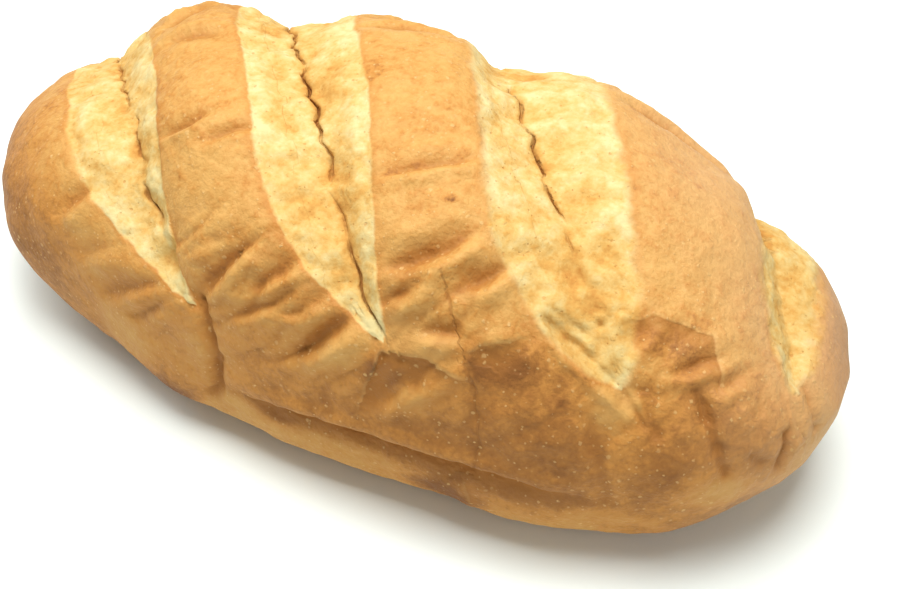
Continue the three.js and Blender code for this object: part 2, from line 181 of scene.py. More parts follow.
folds = [  # from, to, sag, depth, width, lift of the roll on the right
    ((-96, 61), (-71, 43), -1.5, 2.4, 2.6, 1.8),
    ((-77, 54.5), (-56, 45), 0.5, 2.2, 2.2, 1.6),
    ((-82, 62), (-57, 49.5), 0.5, 1.9, 2.0, 1.3),
    ((-69, 59), (-47, 51), 0.5, 1.9, 1.9, 1.3),
    ((-67, 69.5), (-44, 56), 0, 3.0, 2.5, 2.2),
    ((-29, 44.5), (9, 33), 1, 3.0, 2.6, 2.2),
    ((-31, 51), (-11, 43), 0.5, 2.4, 2.2, 1.6),
    ((-1, 45), (17, 38.5), 0.5, 2.8, 2.3, 1.8),
    ((-21, 56), (-4, 55), -1, 2.2, 2.0, 1.2),
    ((-21, 24), (20, 15.5), 0.5, 1.7, 1.8, 1.0),
    ((-99, 16.5), (-74, 10), 1.5, 1.7, 1.6, 0.8),
    ((-80, 19.5), (-61, 14.5), 0, 1.7, 1.6, 0.9),
    ((-140, 45), (-127, 32), 0, 1.4, 2.6, 1.4),
    ((-124, 70), (-110, 59.5), 0, 1.6, 2.4, 1.0),
    ((-136, 62), (-124, 52), 0, 0.9, 2.6, 0.7),
    ((-123, 81), (-109, 64), 0, 1.4, 2.0, 1.0),
    ((-133, 80), (-121, 67), 0, 0.9, 2.2, 0.7),
    ((51, 53.5), (62, 45), -0.5, 2.0, 2.2, 1.2),
    ((66, 55.5), (86, 50), 0.5, 1.5, 1.6, 1.3),
    ((83, 58), (96, 53.5), 0, 1.2, 1.4, 1.0),
    ((-43, 77), (-18, 63), 0, 1.3, 2.4, 1.5),
    ((26, 48.5), (49, 64.5), 0, 1.5, 1.4, 1.3),
    ((28, 92), (-90, 92), -4, 3.4, 2.8, 1.4),
    ((-85, -94), (60, -96), 4, 1.8, 3, 0.9),
]
foldShape = {  # section across a fold, in widths from its furrow
    "boost": 1.25, "steepSide": 0.7, "slackSide": 1.6, "power": 1.3, "reach": 8.0,
    "rollAt": 1.7, "rollSpread": 1.2, "farRoll": 0.3, "farAt": 3.0, "farSpread": 1.8,
}
creases = [  # from, to, sag, depth, width
    ((-97, 63), (-98, 108), 2, 3.6, 2.2),
    ((48, 60.5), (54, 69), 0, 1.3, 1.6),
    ((34, 68), (38, 92), 0, 1.3, 2.4),
    ((56, 62), (57.5, 71), 0, 1.4, 1.5),
    ((122, 60), (126, 82), 0, 1.6, 2.0),
    ((53, 60), (58, 60), 0, 1.6, 2.0),
    ((75, 59), (76.5, 66), 0, 1.6, 1.8),
    ((77, 62), (82, 86), 0, 2.4, 2.2),
    ((93, 80), (97.5, 85), 0, 1.6, 2.2),
    ((109, 74), (106, 93), 0, 2.2, 2.0),
    ((27, 48), (30, 49), 0, 1.8, 1.6),
    ((36, 50.5), (46, 49.5), 0, 0.8, 1.6),
    ((43, 46), (47, 47.5), 0, 0.9, 1.3),
    ((26, 48.7), (45, 58.3), 0, 1.7, 1.3),
    ((29.6, 45), (38.5, 48.7), 0.6, 1.2, 1.2),
    ((38.5, 48.7), (54, 43), 0.6, 1.2, 1.2),
    ((-64, -70), (-66, -96), 0, 1.8, 2.0),
    ((-20, -76), (-22, -92), 0, 1.2, 1.6),
    ((22, -62), (26, -90), 0, 1.6, 1.8),
    ((88, -58), (92, -84), 0, 2.0, 2.0),
]
ledges = [  # height, painted shade under it, then the edge; the crust stands proud on its left
    (2.0, 1.0, [(-47, 80), (-34, 61.5), (-20, 60.5), (-5, 63.5)]),
    (2.3, 0.7, [(-4, 57.5), (6, 54.5), (17, 52.5)]),
    (0.4, 0.8, [(57, 45), (66, 42.5), (74, 43.5), (86, 44.5), (84, 58)]),
    (1.6, 0.8, [(-90, 92.5), (-60, 89.8), (-31, 88.6), (0, 89.8), (28, 92)]),
    (1.2, 0.6, [(-2, 112), (-10, 96)]),
    (1.4, 0.7, [(-60, -96), (-20, -97), (30, -95)]),
    (0.8, 0.7, [(-40, -30), (-28, -46), (-8, -47)]),
    (0.8, 0.7, [(70, -52), (84, -40), (100, -44)]),
    (1.5, 0.8, [(-8, -62), (-24, -70), (-42, -66), (-60, -74)]),
    (1.6, 0.8, [(64, -60), (48, -68), (30, -64)]),
]
seams = [  # strength, then the line of a fine crack in the crust
    (0.4, [(-6, 40), (-5.5, 48), (-5, 62), (-3.5, 65.5), (-5, 80), (-8, 92)]),
    (0.3, [(109, 74), (108, 84), (106, 92)]),
    (0.15, [(86, 44), (84.7, 51.5), (83.3, 60)]),
    (0.3, [(-85, -40), (-82, -60), (-86, -78)]),
    (0.3, [(40, -50), (44, -72), (41, -88)]),
]
creaseShape = {"power": 1.5, "reach": 5.0}
ledgeShape = {"edge": 0.8, "run": 9.0, "reach": 40.0}
seamShape = {"depth": 0.8, "width": 0.9, "reach": 10.0, "fade": (2.0, 4.0)}
furrowShadeDepth = 3.0  # depth at which a furrow takes its full painted shade
backFold = {
    "rows": 3, "firstTurn": -24.0, "rowStep": -17.0, "stagger": 0.4, "slant": 6.0, "inset": 7.0,
    "depth": 1.8, "width": 2.4, "lift": 1.2,
}


def foldsOfBack():  # a few folds on each land between two cuts
    made = []
    for land in range(len(cuts) - 1):
        for row in range(backFold["rows"]):
            turn = backFold["firstTurn"] + backFold["rowStep"] * (row + backFold["stagger"] * (land % 2))
            _, crackBefore, _, right = bandAt(cuts[land], turn)
            _, crackAfter, left, _ = bandAt(cuts[land + 1], turn)
            slant = backFold["slant"] * (row % 2)
            made.append((
                (crackAfter - left - backFold["inset"], turn - slant),
                (crackBefore + right + backFold["inset"], turn + slant),
                row - 1, backFold["depth"], backFold["width"], backFold["lift"],
            ))
    return made


lineSteps = 8
farOff = 1e3  # distance of a point that no line reaches
lineEnd = {"fade": 0.02, "within": 0.08}  # shares of a line at each end


def arc(start, end, sag):  # a line that sags round the loaf between two places
    t = np.linspace(0, 1, lineSteps + 1)
    return np.stack([
        start[0] + (end[0] - start[0]) * t,
        start[1] + (end[1] - start[1]) * t + 4 * sag * t * (1 - t),
    ], axis=1)


def measure(places, point, outward, margin):
    # Distance from a line over the plain form, minus on its left, and the share of the line passed
    places = np.asarray(places, float)
    line, _ = plainForm(places[:, 0], places[:, 1])
    distance = np.full(len(point), farOff)
    aside, passed = np.full(len(point), farOff), np.zeros(len(point))
    middle = line.mean(axis=0)
    span = np.linalg.norm(line - middle, axis=1).max() + margin
    near = np.flatnonzero(np.linalg.norm(point - middle, axis=1) < span)
    for i in range(len(line) - 1):
        piece = line[i + 1] - line[i]
        along = np.clip((point[near] - line[i]) @ piece / (piece @ piece), 0, 1)
        gap = point[near] - line[i] - along[:, None] * piece
        length = np.linalg.norm(gap, axis=1)
        closer = length < distance[near]
        right = np.cross(piece, outward[near])
        signed = np.where((gap * right).sum(axis=1) > 0, length, -length)
        chosen = near[closer]
        distance[chosen] = length[closer]
        aside[chosen] = signed[closer]
        passed[chosen] = (i + along[closer]) / (len(line) - 1)
    return distance, aside, passed


def fading(passed):  # strongest halfway along a line
    return np.sqrt(np.sin(np.pi * np.clip(passed, lineEnd["fade"], 1 - lineEnd["fade"])))


def within(passed):  # 1 along a line, 0 at both ends of it
    return smooth(passed, 0, lineEnd["within"]) * (1 - smooth(passed, 1 - lineEnd["within"], 1))


uneven = {  # slow waves over the whole form, in millimetres
    "height": 0.6, "broad": (17.0, 13.0, 15.0), "broadPhase": 1.3,
    "small": (9.0, 8.0, 11.0, 10.0), "smallPhase": 0.7, "smallShare": 0.6,
}
fine = {  # relief that is too fine for the solid, in millimetres
    "crumbLump": 1.5, "crumbLumpSize": 11.0, "crumbGrain": 0.34, "crumbGrainSize": 4.0,
    "crumbEdge": (-0.7, 0.9), "tipLump": 0.7, "tipTurn": (36.0, 52.0),
    "crustLump": 0.6, "crustLumpSize": 10.0, "crustShift": 50.0,
    "crustGrain": 0.26, "crustGrainSize": 3.0, "grainShift": 90.0,
    "edgeWander": 1.2, "edgeSize": 13.0, "lineWander": 0.9, "lineSize": 7.0, "lineShifts": (10.0, 20.0, 30.0),
}
wrinkle = {  # small parallel folds over the shoulders of the loaf
    "height": 2.2, "long": 30.0, "short": 6.0, "lean": 36.0, "perDegree": 1.3, "middle": 0.3, "shadeAndBrowning": 3.0,
    "rise": (30.0, 46.0), "fall": (62.0, 92.0), "ends": (85.0, 122.0), "few": 0.5, "fewFrom": (-8.0, 15.0),
    "shift": 3.0, "sideShift": 0.5,
}
pucker = {  # dents that run down the sides near the last cut
    "height": 1.5, "across": 5.5, "down": 15.0, "middle": 0.25, "shift": 5.0,
    "rise": (64.0, 82.0), "fall": (116.0, 134.0), "turnRise": (50.0, 62.0), "turnFall": (92.0, 108.0),
}
marks = [  # patches of the crust, browner or, with a minus, paler, partly real browning and partly painted shade and light: station, turn, length, height, amount
    (62, 83, 12, 12, 0.04), (16, 76, 20, 18, 0.1), (86, 68, 10, 10, 0.06), (-1, 60, 5, 4.5, 0.5),
    (9, 59, 10, 5, 0.55), (14, 58, 4, 4, 0.12), (-35, 66.5, 6, 6, 0.9), (67, 47.5, 13, 6, 0.45),
    (-108, 118, 12, 14, 0.1), (96, 84, 8, 10, 0.15), (-14, 110, 11, 7, 0.85), (25, 65, 1.8, 1.4, 0.42),
    (4.5, 27, 1.0, 1.0, 0.9), (104, 4, 1.0, 0.8, 0.6), (-50, 64, 9, 6, -0.45), (-24, 57, 13, 5, -0.7),
    (72, 108, 40, 8, 0.1), (-100, 84, 14, 14, -0.2), (-128, 95, 26, 16, -0.4), (128, 92, 16, 14, -0.45),
    (-101, 14, 6, 26, 0.18), (134, 34, 9, 22, -0.1), (-148, 10, 34, 40, 0.12), (-108, 122, 8, 6, 0.4),
    (-77, 98, 7, 3.5, 0.6), (10, -25, 25, 15, -0.15), (60, 70, 30, 16, 0.05), (55, 60, 4, 3, 0.3),
    (-85, 58, 20, 12, 0.02), (100, 108, 24, 8, 0.2), (80, 56, 12, 8, 0.16), (24, 71, 14, 10, 0.14),
    (81, 94, 16, 8, -0.5), (12, 101, 16, 6, 0.26), (44, 54, 7, 8, -0.12), (38, 44, 7, 6, 0.25),
    (150, 40, 16, 20, 0.24), (45, 33, 10, 9, 0.25), (-15, -7, 12, 12, 0.4), (-32, 25, 9, 9, 0.25),
    (-117, 43, 10, 10, -0.2), (-105, 61, 6, 6, -0.15), (43, 80, 6, 14, -0.22), (44, 64, 6, 7, -0.2),
    (-50, 32, 8, 8, 0.16), (-123, 18, 8, 10, -0.1), (-14, 73, 12, 10, 0.04), (-65, 71, 10, 6, -0.15),
    (-132, 54, 12, 12, -0.24), (58, 80, 14, 12, 0.08), (-30, 71, 7, 5, -0.35), (38, 68, 5, 5, -0.3),
    (49, 62, 4, 4, -0.6), (37, 57, 6, 4, 0.25), (62, 12, 14, 14, 0.1), (-45, 0, 10, 14, 0.1),
    (-40, -78, 14, 10, 0.16), (40, -76, 14, 10, 0.16), (5, -80, 10, 12, -0.15), (-90, -80, 14, 12, -0.15),
    (90, -76, 14, 12, 0.12), (-66, -60, 8, 8, -0.2), (60, -95, 20, 8, 0.1), (-20, -108, 10, 6, 0.4),
]
markShape = {"depthInLength": 0.5, "depthInHeight": 0.8}  # how much a step across the loaf counts
lookRange = 12.0  # farthest distance an attribute keeps, in millimetres
endFrom, endTo = 108.0, 144.0  # stations where the slope takes over from the turn


def wrinkles(station, turn):
    lean = math.radians(wrinkle["lean"])
    away = np.abs(turn)
    down = wrinkle["perDegree"] * away
    along = station * math.cos(lean) - down * math.sin(lean)
    across = station * math.sin(lean) + down * math.cos(lean)
    side = np.sign(turn) * wrinkle["sideShift"] + wrinkle["shift"]
    places = np.stack([along / wrinkle["long"], across / wrinkle["short"], side], axis=1)
    valley = np.abs(noiseAt(places, 1.0, 2))
    shoulders = smooth(away, *wrinkle["rise"]) * (1 - smooth(away, *wrinkle["fall"]))
    fewer = 1 - (1 - wrinkle["few"]) * smooth(station, *wrinkle["fewFrom"])
    fewer *= 1 - smooth(np.abs(station), *wrinkle["ends"])
    return shoulders * fewer * (valley - wrinkle["middle"])


def puckers(station, turn):
    away = np.abs(turn)
    level = np.full_like(station, pucker["shift"])
    places = np.stack([station / pucker["across"], turn / pucker["down"], level], axis=1)
    along = smooth(station, *pucker["rise"]) * (1 - smooth(station, *pucker["fall"]))
    around = smooth(away, *pucker["turnRise"]) * (1 - smooth(away, *pucker["turnFall"]))
    return along * around * (np.abs(noiseAt(places, 1.0, 2)) - pucker["middle"])


def unevenness(point):
    x, y, z = point.T
    broadX, broadY, broadZ = uneven["broad"]
    smallX, smallY, smallZ, smallZBack = uneven["small"]
    broad = np.sin(x / broadX + uneven["broadPhase"]) * np.sin(y / broadY + z / broadZ)
    small = np.sin(x / smallX + z / smallZ) * np.sin(y / smallY - z / smallZBack + uneven["smallPhase"])
    return uneven["height"] * (broad + uneven["smallShare"] * small)


def keepNearest(looks, name, signed, on):  # keeps the closest line of a kind, and how strong it is
    closer = np.abs(signed) < np.abs(looks[name])
    looks[name] = np.where(closer, signed, looks[name])
    looks[name + "On"] = np.where(closer, on, looks[name + "On"])


# how strongly a furrow takes the painted shade of the valley colour, by its depth
def keepFurrow(looks, furrow, depth):
    looks["furrow"] = np.maximum(looks["furrow"], furrow * min(depth / furrowShadeDepth, 1))


def splitDepth(item, turn):  # how deep the crack stands open
    split = np.zeros_like(turn)
    for begin, finish, depth in item["splits"]:
        begun = smooth(turn, begin - opening["splitOuter"], begin + opening["splitInner"])
        ended = smooth(turn, finish - opening["splitInner"], finish + opening["splitOuter"])
        split = np.maximum(split, depth * begun * (1 - ended))
    return split


def openBands(station, turn, wander, looks):  # hollows with a lip along each edge and a crack
    relief = np.zeros_like(station)
    for item in cuts:
        wide, crack, left, right = bandAt(item, turn)
        offset = station - crack
        onLeft = offset < 0
        width = np.where(onLeft, left, right)
        hollowShare = np.where(onLeft, item["left"]["hollow"], item["right"]["hollow"])
        shoulder = np.where(onLeft, item["left"]["shoulder"], item["right"]["shoulder"])
        span = width * hollowShare + opening["shoulder"]
        hollow = np.exp(-opening["steepness"] * (np.abs(offset) / span) ** shoulder)
        opened = smooth(wide, 0, opening["openBy"])
        inside = width - np.abs(offset) + wander - opening["closing"] * (1 - opened)
        strayed = offset - straying(item, turn)
        groove = np.maximum(1 - np.abs(strayed) / opening["crackHalf"], 0)
        split = splitDepth(item, turn)
        relief -= item["depth"] * wide * hollow + opening["crackDepth"] * split * groove
        relief -= opening["lip"] * smooth(inside, *opening["lipSlope"]) * opened
        looks["edge"] = np.maximum(looks["edge"], np.where(opened > 0, inside, -lookRange))
        keepNearest(looks, "seam", strayed, np.minimum(split / opening["fullSplit"], 1))
    return relief


def swelling(point):
    relief = np.zeros(len(point))
    for station, turn, spread, height in swells:
        centre, _ = plainForm(station, turn)
        relief += height * bell(np.linalg.norm(point - centre, axis=1) / spread)
    return relief


def foldRelief(point, outward, looks):  # a furrow with a roll on its right and a slack side on its left
    relief = np.zeros(len(point))
    for start, end, sag, depth, width, lift in folds + foldsOfBack():
        margin = foldShape["reach"] * width
        distance, aside, passed = measure(arc(start, end, sag), point, outward, margin)
        fade = fading(passed)
        spread = np.where(aside > 0, foldShape["steepSide"], foldShape["slackSide"]) * width
        furrow = fade * np.exp(-(distance / spread) ** foldShape["power"])
        roll = bell((aside / width - foldShape["rollAt"]) / foldShape["rollSpread"])
        roll += foldShape["farRoll"] * bell((aside / width + foldShape["farAt"]) / foldShape["farSpread"])
        relief += foldShape["boost"] * (fade * lift * roll - depth * furrow)
        keepFurrow(looks, furrow, depth)
    return relief


def creaseRelief(point, outward, looks):
    relief = np.zeros(len(point))
    for start, end, sag, depth, width in creases:
        margin = creaseShape["reach"] * width
        distance, _, _ = measure(arc(start, end, sag), point, outward, margin)
        furrow = np.exp(-(distance / width) ** creaseShape["power"])
        relief -= depth * furrow
        keepFurrow(looks, furrow, depth)
    return relief


def ledgeRelief(point, outward, looks):
    relief = np.zeros(len(point))
    for height, brown, places in ledges:
        _, aside, passed = measure(places, point, outward, ledgeShape["reach"])
        step = 1 - smooth(aside, -ledgeShape["edge"], ledgeShape["edge"])
        relief += height * fading(passed) * step * np.exp(np.minimum(aside, 0) / ledgeShape["run"])
        close = 1 - smooth(np.abs(aside), 0.5 * lookRange, lookRange)
        keepNearest(looks, "ledge", aside, brown * within(passed) * close)
    return relief


def seamRelief(point, outward, looks):
    relief = np.zeros(len(point))
    for strength, places in seams:
        distance, aside, passed = measure(places, point, outward, seamShape["reach"])
        strong = strength * within(passed)
        relief -= seamShape["depth"] * strong * bell(distance / seamShape["width"])
        keepNearest(looks, "seam", aside, strong * (1 - smooth(distance, *seamShape["fade"])))
    return relief


# the marks: partly real browning, partly painted shade in shaded spots and painted light on lit ones
def shadeAndBrowning(point):
    bake = np.zeros(len(point))
    for station, turn, length, height, amount in marks:
        centre, _ = plainForm(station, turn)
        gapX, gapY, gapZ = (point - centre).T
        along = np.hypot(gapX, markShape["depthInLength"] * gapY) / length
        upward = np.hypot(gapZ, markShape["depthInHeight"] * gapY) / height
        bake += amount * bell(np.hypot(along, upward))
    return bake


def fineRelief(point, station, turn, atEnd, looks):  # torn crumb, grain, wrinkles and dents
    crumb = smooth(looks["edge"], *fine["crumbEdge"])
    folded = wrinkles(station, turn) * (1 - crumb)
    # the wrinkles' valleys take the painted shade of a furrow too
    looks["furrow"] = np.maximum(looks["furrow"], np.clip(-wrinkle["shadeAndBrowning"] * folded, 0, 1))
    looks["torn"] = noiseAt(point, fine["crumbLumpSize"], 3)
    rougher = 1 + fine["tipLump"] * smooth(np.abs(turn), *fine["tipTurn"])
    torn = rougher * fine["crumbLump"] * looks["torn"]
    torn += fine["crumbGrain"] * noiseAt(point, fine["crumbGrainSize"], 2)
    skin = fine["crustLump"] * noiseAt(point + fine["crustShift"], fine["crustLumpSize"], 2)
    skin += (1 - atEnd) * fine["crustGrain"] * noiseAt(point + fine["grainShift"], fine["crustGrainSize"])
    skin += pucker["height"] * puckers(station, turn)
    return crumb * torn + (1 - crumb) * skin + wrinkle["height"] * folded


def settled(point):  # nothing reaches below the base
    point[:, 2] = np.maximum(point[:, 2], 0)
    return point


def shapeLoaf(station, turn):  # the form without its grain and with it, and what the finish needs to know
    point, outward = plainForm(station, turn)
    looks = {name: np.zeros(len(point)) for name in ("furrow", "seamOn", "ledgeOn")}
    looks["edge"] = np.full(len(point), -lookRange)
    looks["seam"], looks["ledge"] = np.full(len(point), lookRange), np.full(len(point), lookRange)
    wander = fine["edgeWander"] * noiseAt(point, fine["edgeSize"], 3)
    relief = unevenness(point) + openBands(station, turn, wander, looks) + swelling(point)
    lineNoise = [noiseAt(point + shift, fine["lineSize"], 2) for shift in fine["lineShifts"]]
    strayed = point + fine["lineWander"] * np.stack(lineNoise, axis=1)
    for reliefOf in (foldRelief, creaseRelief, ledgeRelief, seamRelief):
        relief += reliefOf(strayed, outward, looks)
    looks["bake"] = shadeAndBrowning(strayed)

    atEnd = smooth(np.abs(station), endFrom, endTo)
    grain = fineRelief(point, station, turn, atEnd, looks)
    plain = settled(point + outward * relief[:, None])
    shaped = settled(point + outward * (relief + grain)[:, None])
    slope = np.degrees(np.arccos(np.clip(outward[:, 2], -1, 1)))
    looks["dip"] = -relief - grain
    looks["away"] = np.abs(turn) * (1 - atEnd) + slope * atEnd
    for name in ("edge", "seam", "ledge"):
        looks[name] = np.clip(looks[name], -lookRange, lookRange)
    return plain, shaped, looks


grid = {
    "around": 300, "samples": 3601, "denseTo": 104.0, "sparseFrom": 122.0, "sparse": 0.3,
    "back": 0.66, "backTurn": 25.0,
    "endSteps": 48, "bandSteps": 15, "crackSteps": 3, "landSteps": 36, "lastSteps": 18,
    "leastBand": 7.0, "evenFrom": 75.0, "evenTo": 130.0,
}


def columnTurns():  # close together over the crown and the sides, wide apart underneath
    fineTurn = np.linspace(180, -180, grid["samples"])
    dense = 1 - (1 - grid["sparse"]) * smooth(np.abs(fineTurn), grid["denseTo"], grid["sparseFrom"])
    dense *= 1 - (1 - grid["back"]) * smooth(-fineTurn, 0, grid["backTurn"])
    passed = np.append(0, np.cumsum((dense[1:] + dense[:-1]) / 2))
    return np.interp(np.arange(grid["around"]) / grid["around"] * passed[-1], passed, fineTurn)


def ringStations(turn):  # they follow the cuts over the crown and are even underneath
    stops = [np.full_like(turn, -reach)]

    def walk(goal, steps):
        start = stops[-1]
        stops.extend(start + (goal - start) * i / steps for i in range(1, steps + 1))

    def endwise(start, goal, steps):
        stops.extend(np.sin(start + (goal - start) * i / steps) * reach for i in range(1, steps + 1))

    for number, item in enumerate(cuts):
        _, crack, left, right = bandAt(item, turn)
        leftEdge = crack - np.maximum(left, grid["leastBand"])
        if number == 0:
            endwise(-math.pi / 2, np.arcsin(np.clip(leftEdge / reach, -1, 1)), grid["endSteps"])
        else:
            walk(leftEdge, grid["landSteps"])
        middle = crack + straying(item, turn)
        walk(middle - opening["crackHalf"], grid["bandSteps"])
        walk(middle, grid["crackSteps"])
        walk(middle + opening["crackHalf"], grid["crackSteps"])
        walk(crack + np.maximum(right, grid["leastBand"]), grid["bandSteps"])
    endwise(np.arcsin(np.clip(stops[-1] / reach, -1, 1)), math.pi / 2, grid["lastSteps"])
    even = smooth(np.abs(turn), grid["evenFrom"], grid["evenTo"])
    evenly = np.sin(np.pi * (np.arange(len(stops)) / (len(stops) - 1) - 0.5)) * reach
    return np.array(stops) * (1 - even) + evenly[:, None] * even


def gridFaces(rings, around):  # rings between two poles, which are the last two points
    ring, column = np.meshgrid(np.arange(rings - 1), np.arange(around), indexing="ij")
    beside = (column + 1) % around
    quads = np.stack([
        ring * around + column, (ring + 1) * around + column,
        (ring + 1) * around + beside, ring * around + beside,
    ], axis=-1).reshape(-1, 4)
    turnOn = np.arange(around)
    after = (turnOn + 1) % around
    last = (rings - 1) * around
    firstCap = np.stack([np.full(around, rings * around), turnOn, after], axis=1)
    lastCap = np.stack([np.full(around, rings * around + 1), last + after, last + turnOn], axis=1)
    return quads.tolist() + firstCap.tolist() + lastCap.tolist()


hollows = {"passes": 45, "most": 2.5}


def dipAt(depth):  # how far each place lies below what is round it, from rings of depths
    level = depth
    for _ in range(hollows["passes"]):
        padded = np.pad(level, ((1, 1), (0, 0)), mode="edge")
        level = (padded[:-2] + 2 * level + padded[2:]) / 4
        level = (np.roll(level, 1, axis=1) + 2 * level + np.roll(level, -1, axis=1)) / 4
    return np.clip(depth - level, -hollows["most"], hollows["most"])


def buildLoaf():
    turn = columnTurns()
    stations = ringStations(turn)[1:-1]
    station = np.append(stations.ravel(), [-reach, reach])
    turns = np.append(np.broadcast_to(turn, stations.shape).ravel(), [0, 0])
    plain, shaped, looks = shapeLoaf(station, turns)
    low, high = (np.array(corner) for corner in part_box("loaf"))
    scale = (high - low) / (plain.max(axis=0) - plain.min(axis=0))
    points = (shaped - plain.min(axis=0)) * scale + low
    points[:, 2] = np.maximum(points[:, 2], low[2])
    mesh = bpy.data.meshes.new("loaf_crust")
    mesh.from_pydata(points.tolist(), [], gridFaces(len(stations), len(turn)))
    mesh.shade_smooth()
    looks["station"] = station
    looks["dip"] = np.append(dipAt(looks["dip"][:-2].reshape(stations.shape)), [0, 0])
    for name, values in looks.items():
        mesh.attributes.new(name, "FLOAT", "POINT").data.foreach_set("value", values.astype(np.float32))
    mesh.update()
    piece = bpy.data.objects.new("loaf_crust", mesh)
    bpy.context.scene.collection.objects.link(piece)
    print("loaf:", len(points), "points,", sum(len(f.vertices) - 2 for f in mesh.polygons), "triangles")
    return piece


class Sock:  # an output socket that takes part in sums
    def __init__(self, tree, socket=None):
        self.tree, self.socket = tree, socket

    def node(self, kind, settings, inputs, output=0):
        made = self.tree.nodes.new("ShaderNode" + kind)
        for name, value in settings.items():
            if name == "stops":
                fillRamp(made.color_ramp, value)
            else:
                setattr(made, name, value)
        for name, value in inputs.items():
            if isinstance(value, Sock):
                self.tree.links.new(value.socket, made.inputs[name])
            else:
                made.inputs[name].default_value = value
        return Sock(self.tree, made.outputs[output] if made.outputs else None)

    def maths(self, operation, *values):
        return self.node("Math", {"operation": operation}, dict(enumerate(values)))

    def __add__(self, other):
        return self.maths("ADD", self, other)

    def __sub__(self, other):
        return self.maths("SUBTRACT", self, other)

    def __rsub__(self, other):
        return self.maths("SUBTRACT", other, self)

    def __mul__(self, other):
        return self.maths("MULTIPLY", self, other)

    __radd__, __rmul__ = __add__, __mul__

    def step(self, low, high):  # 0 below low, 1 above high, smooth between
        limits = {"Value": self, "From Min": low, "From Max": high}
        return self.node("MapRange", {"interpolation_type": "SMOOTHSTEP"}, limits)

    def mix(self, first, second, kind="MIX"):  # colours, by this value
        return self.node("Mix", {"data_type": "RGBA", "blend_type": kind}, {0: self, 6: first, 7: second}, 2)


def fillRamp(ramp, stops):
    while len(ramp.elements) < len(stops):
        ramp.elements.new(0.5)
    for element, (place, colour) in zip(ramp.elements, stops):
        element.position = place
        element.color = colour


def tone(red, green, blue):  # a screen colour, 0 to 255, as linear light
    shares = [c / 255 for c in (red, green, blue)]
    linear = [s / 12.92 if s < 0.0404 else ((s + 0.055) / 1.055) ** 2.4 for s in shares]
    return (*linear, 1.0)


crust = {
    "baked": [(0.0, tone(206, 158, 88)), (0.3, tone(198, 147, 77)), (0.55, tone(190, 131, 61)),
              (0.75, tone(161, 107, 49)), (0.9, tone(142, 92, 41)), (1.0, tone(130, 82, 36))],
    "crumb": [(0.0, tone(215, 197, 141)), (0.4, tone(210, 175, 106)), (0.7, tone(201, 154, 80)),
              (1.0, tone(188, 132, 62))],
    "rimColour": tone(186, 118, 48), "crackColour": tone(136, 84, 36), "blisterAndHighlightColour": tone(214, 174, 112),
    "valleyShadeColour": tone(165, 108, 47), "paleEndColour": tone(208, 166, 122),
    "shadeColour": tone(186, 172, 112),
    "noises": {  # scale, detail
        "clouds": (26, 4), "patches": (110, 3), "specks": (290, 3), "grains": (700, 3),
    },
    "noiseRoughness": 0.55,
    "blisters": [(230, 0.18, 0.35), (330, 0.24, 0.4), (560, 0.26, 0.45)],  # scale, radius, share of the cells
    "blisterBase": 0.75, "blisterPatches": 2,
    "pores": [(330, 0.2, 0.4), (640, 0.22, 0.3)],
    "bump": {"grains": 0.9, "patches": 0.8, "specks": 1.2, "blisters": 0.3},
    "crumbBump": {"pores": 0.5, "specks": 0.4, "grains": 0.3},  # taken off in the crumb
    "crackBump": 1.5, "ledgeBump": 0.5, "ledgeEdge": (-0.5, 0.5),
    "roughness": 0.6, "crumbRoughness": 0.85, "patchRoughness": 0.15, "shine": 0.22,
    "bumpStrength": 0.6, "bumpDepth": 0.0008,
}
bakedLook = {  # how far each part is baked, with painted shade and painted light mixed in, and where it starts and ends by turn, station or distance
    "top": 0.25, "sides": 0.48, "sidesTurn": (36, 90), "base": 0.22, "baseLevel": (0.0005, 0.006),
    "baseRagged": 0.006,  # in metres, as the levels are
    "skirt": -0.36, "skirtTurn": (94, 104), "skirtStart": (-104, -94), "skirtStartBehind": (-135, -45),
    "skirtEnd": (30, 80), "skirtLoss": 0.6, "behind": (0, 0.03),
    "mottle": {"clouds": 0.45, "patches": 0.65, "specks": 0.8, "grains": 0.7},
    "mottleTop": 1.2, "mottleLoss": 0.7, "mottleTurn": (40, 72), "dip": 0.04, "hollow": 0.08,
    "paleEnd": 0.6, "paleEndStation": (55, 135), "paleEndBase": 0.8,
    "rim": 0.8, "rimEdge": (-4, 0), "rimRagged": 4, "rimBase": 0.45, "rimClouds": 2,
    "furrow": 0.6, "shadeBelowLedge": 0.75, "ledgeEdge": (-0.3, 0.3), "ledgeFade": (1, 9), "deep": 0.3,
    "deepDip": (0.2, 1.5), "blister": 0.7, "brinkHighlight": 0.2, "brinkHighlightEdge": (-1.6, -0.4),
}
crumbLook = {
    "pale": 0.2, "inner": 0.13, "innerEdge": (1.5, 10), "sides": 0.15, "sidesTurn": (10, 45), "dip": 0.12,
    "besideCrack": 0.3, "crackSide": (0.5, 4), "torn": -0.15,
    "mottle": {"clouds": -0.2, "patches": 0.8, "specks": 1.0, "grains": 0.6},
    "shade": 0.13, "shadeTurn": (44, 58), "shadeEnd": (95, 120), "pore": 0.45,
    "softness": 0.7, "softer": ((1.7, (-10, 20)), (1.8, (100, 125))),  # edges blur along the loaf
    "edgePatches": 3, "edgeSpecks": 2.5,
    "crack": 0.85, "crackWidth": (0.1, 0.75), "crackSpecks": 0.8, "crumbCrackSpecks": 1.6, "crackGrains": 0.5,
}
dotShape = {"wobble": 0.45, "wobbleScale": 2.4, "core": 0.4}


def mottle(place, scale, detail):  # cloudy, -0.5 to 0.5
    inputs = {"Vector": place, "Scale": scale, "Detail": detail, "Roughness": crust["noiseRoughness"]}
    return place.node("TexNoise", {}, inputs) - 0.5


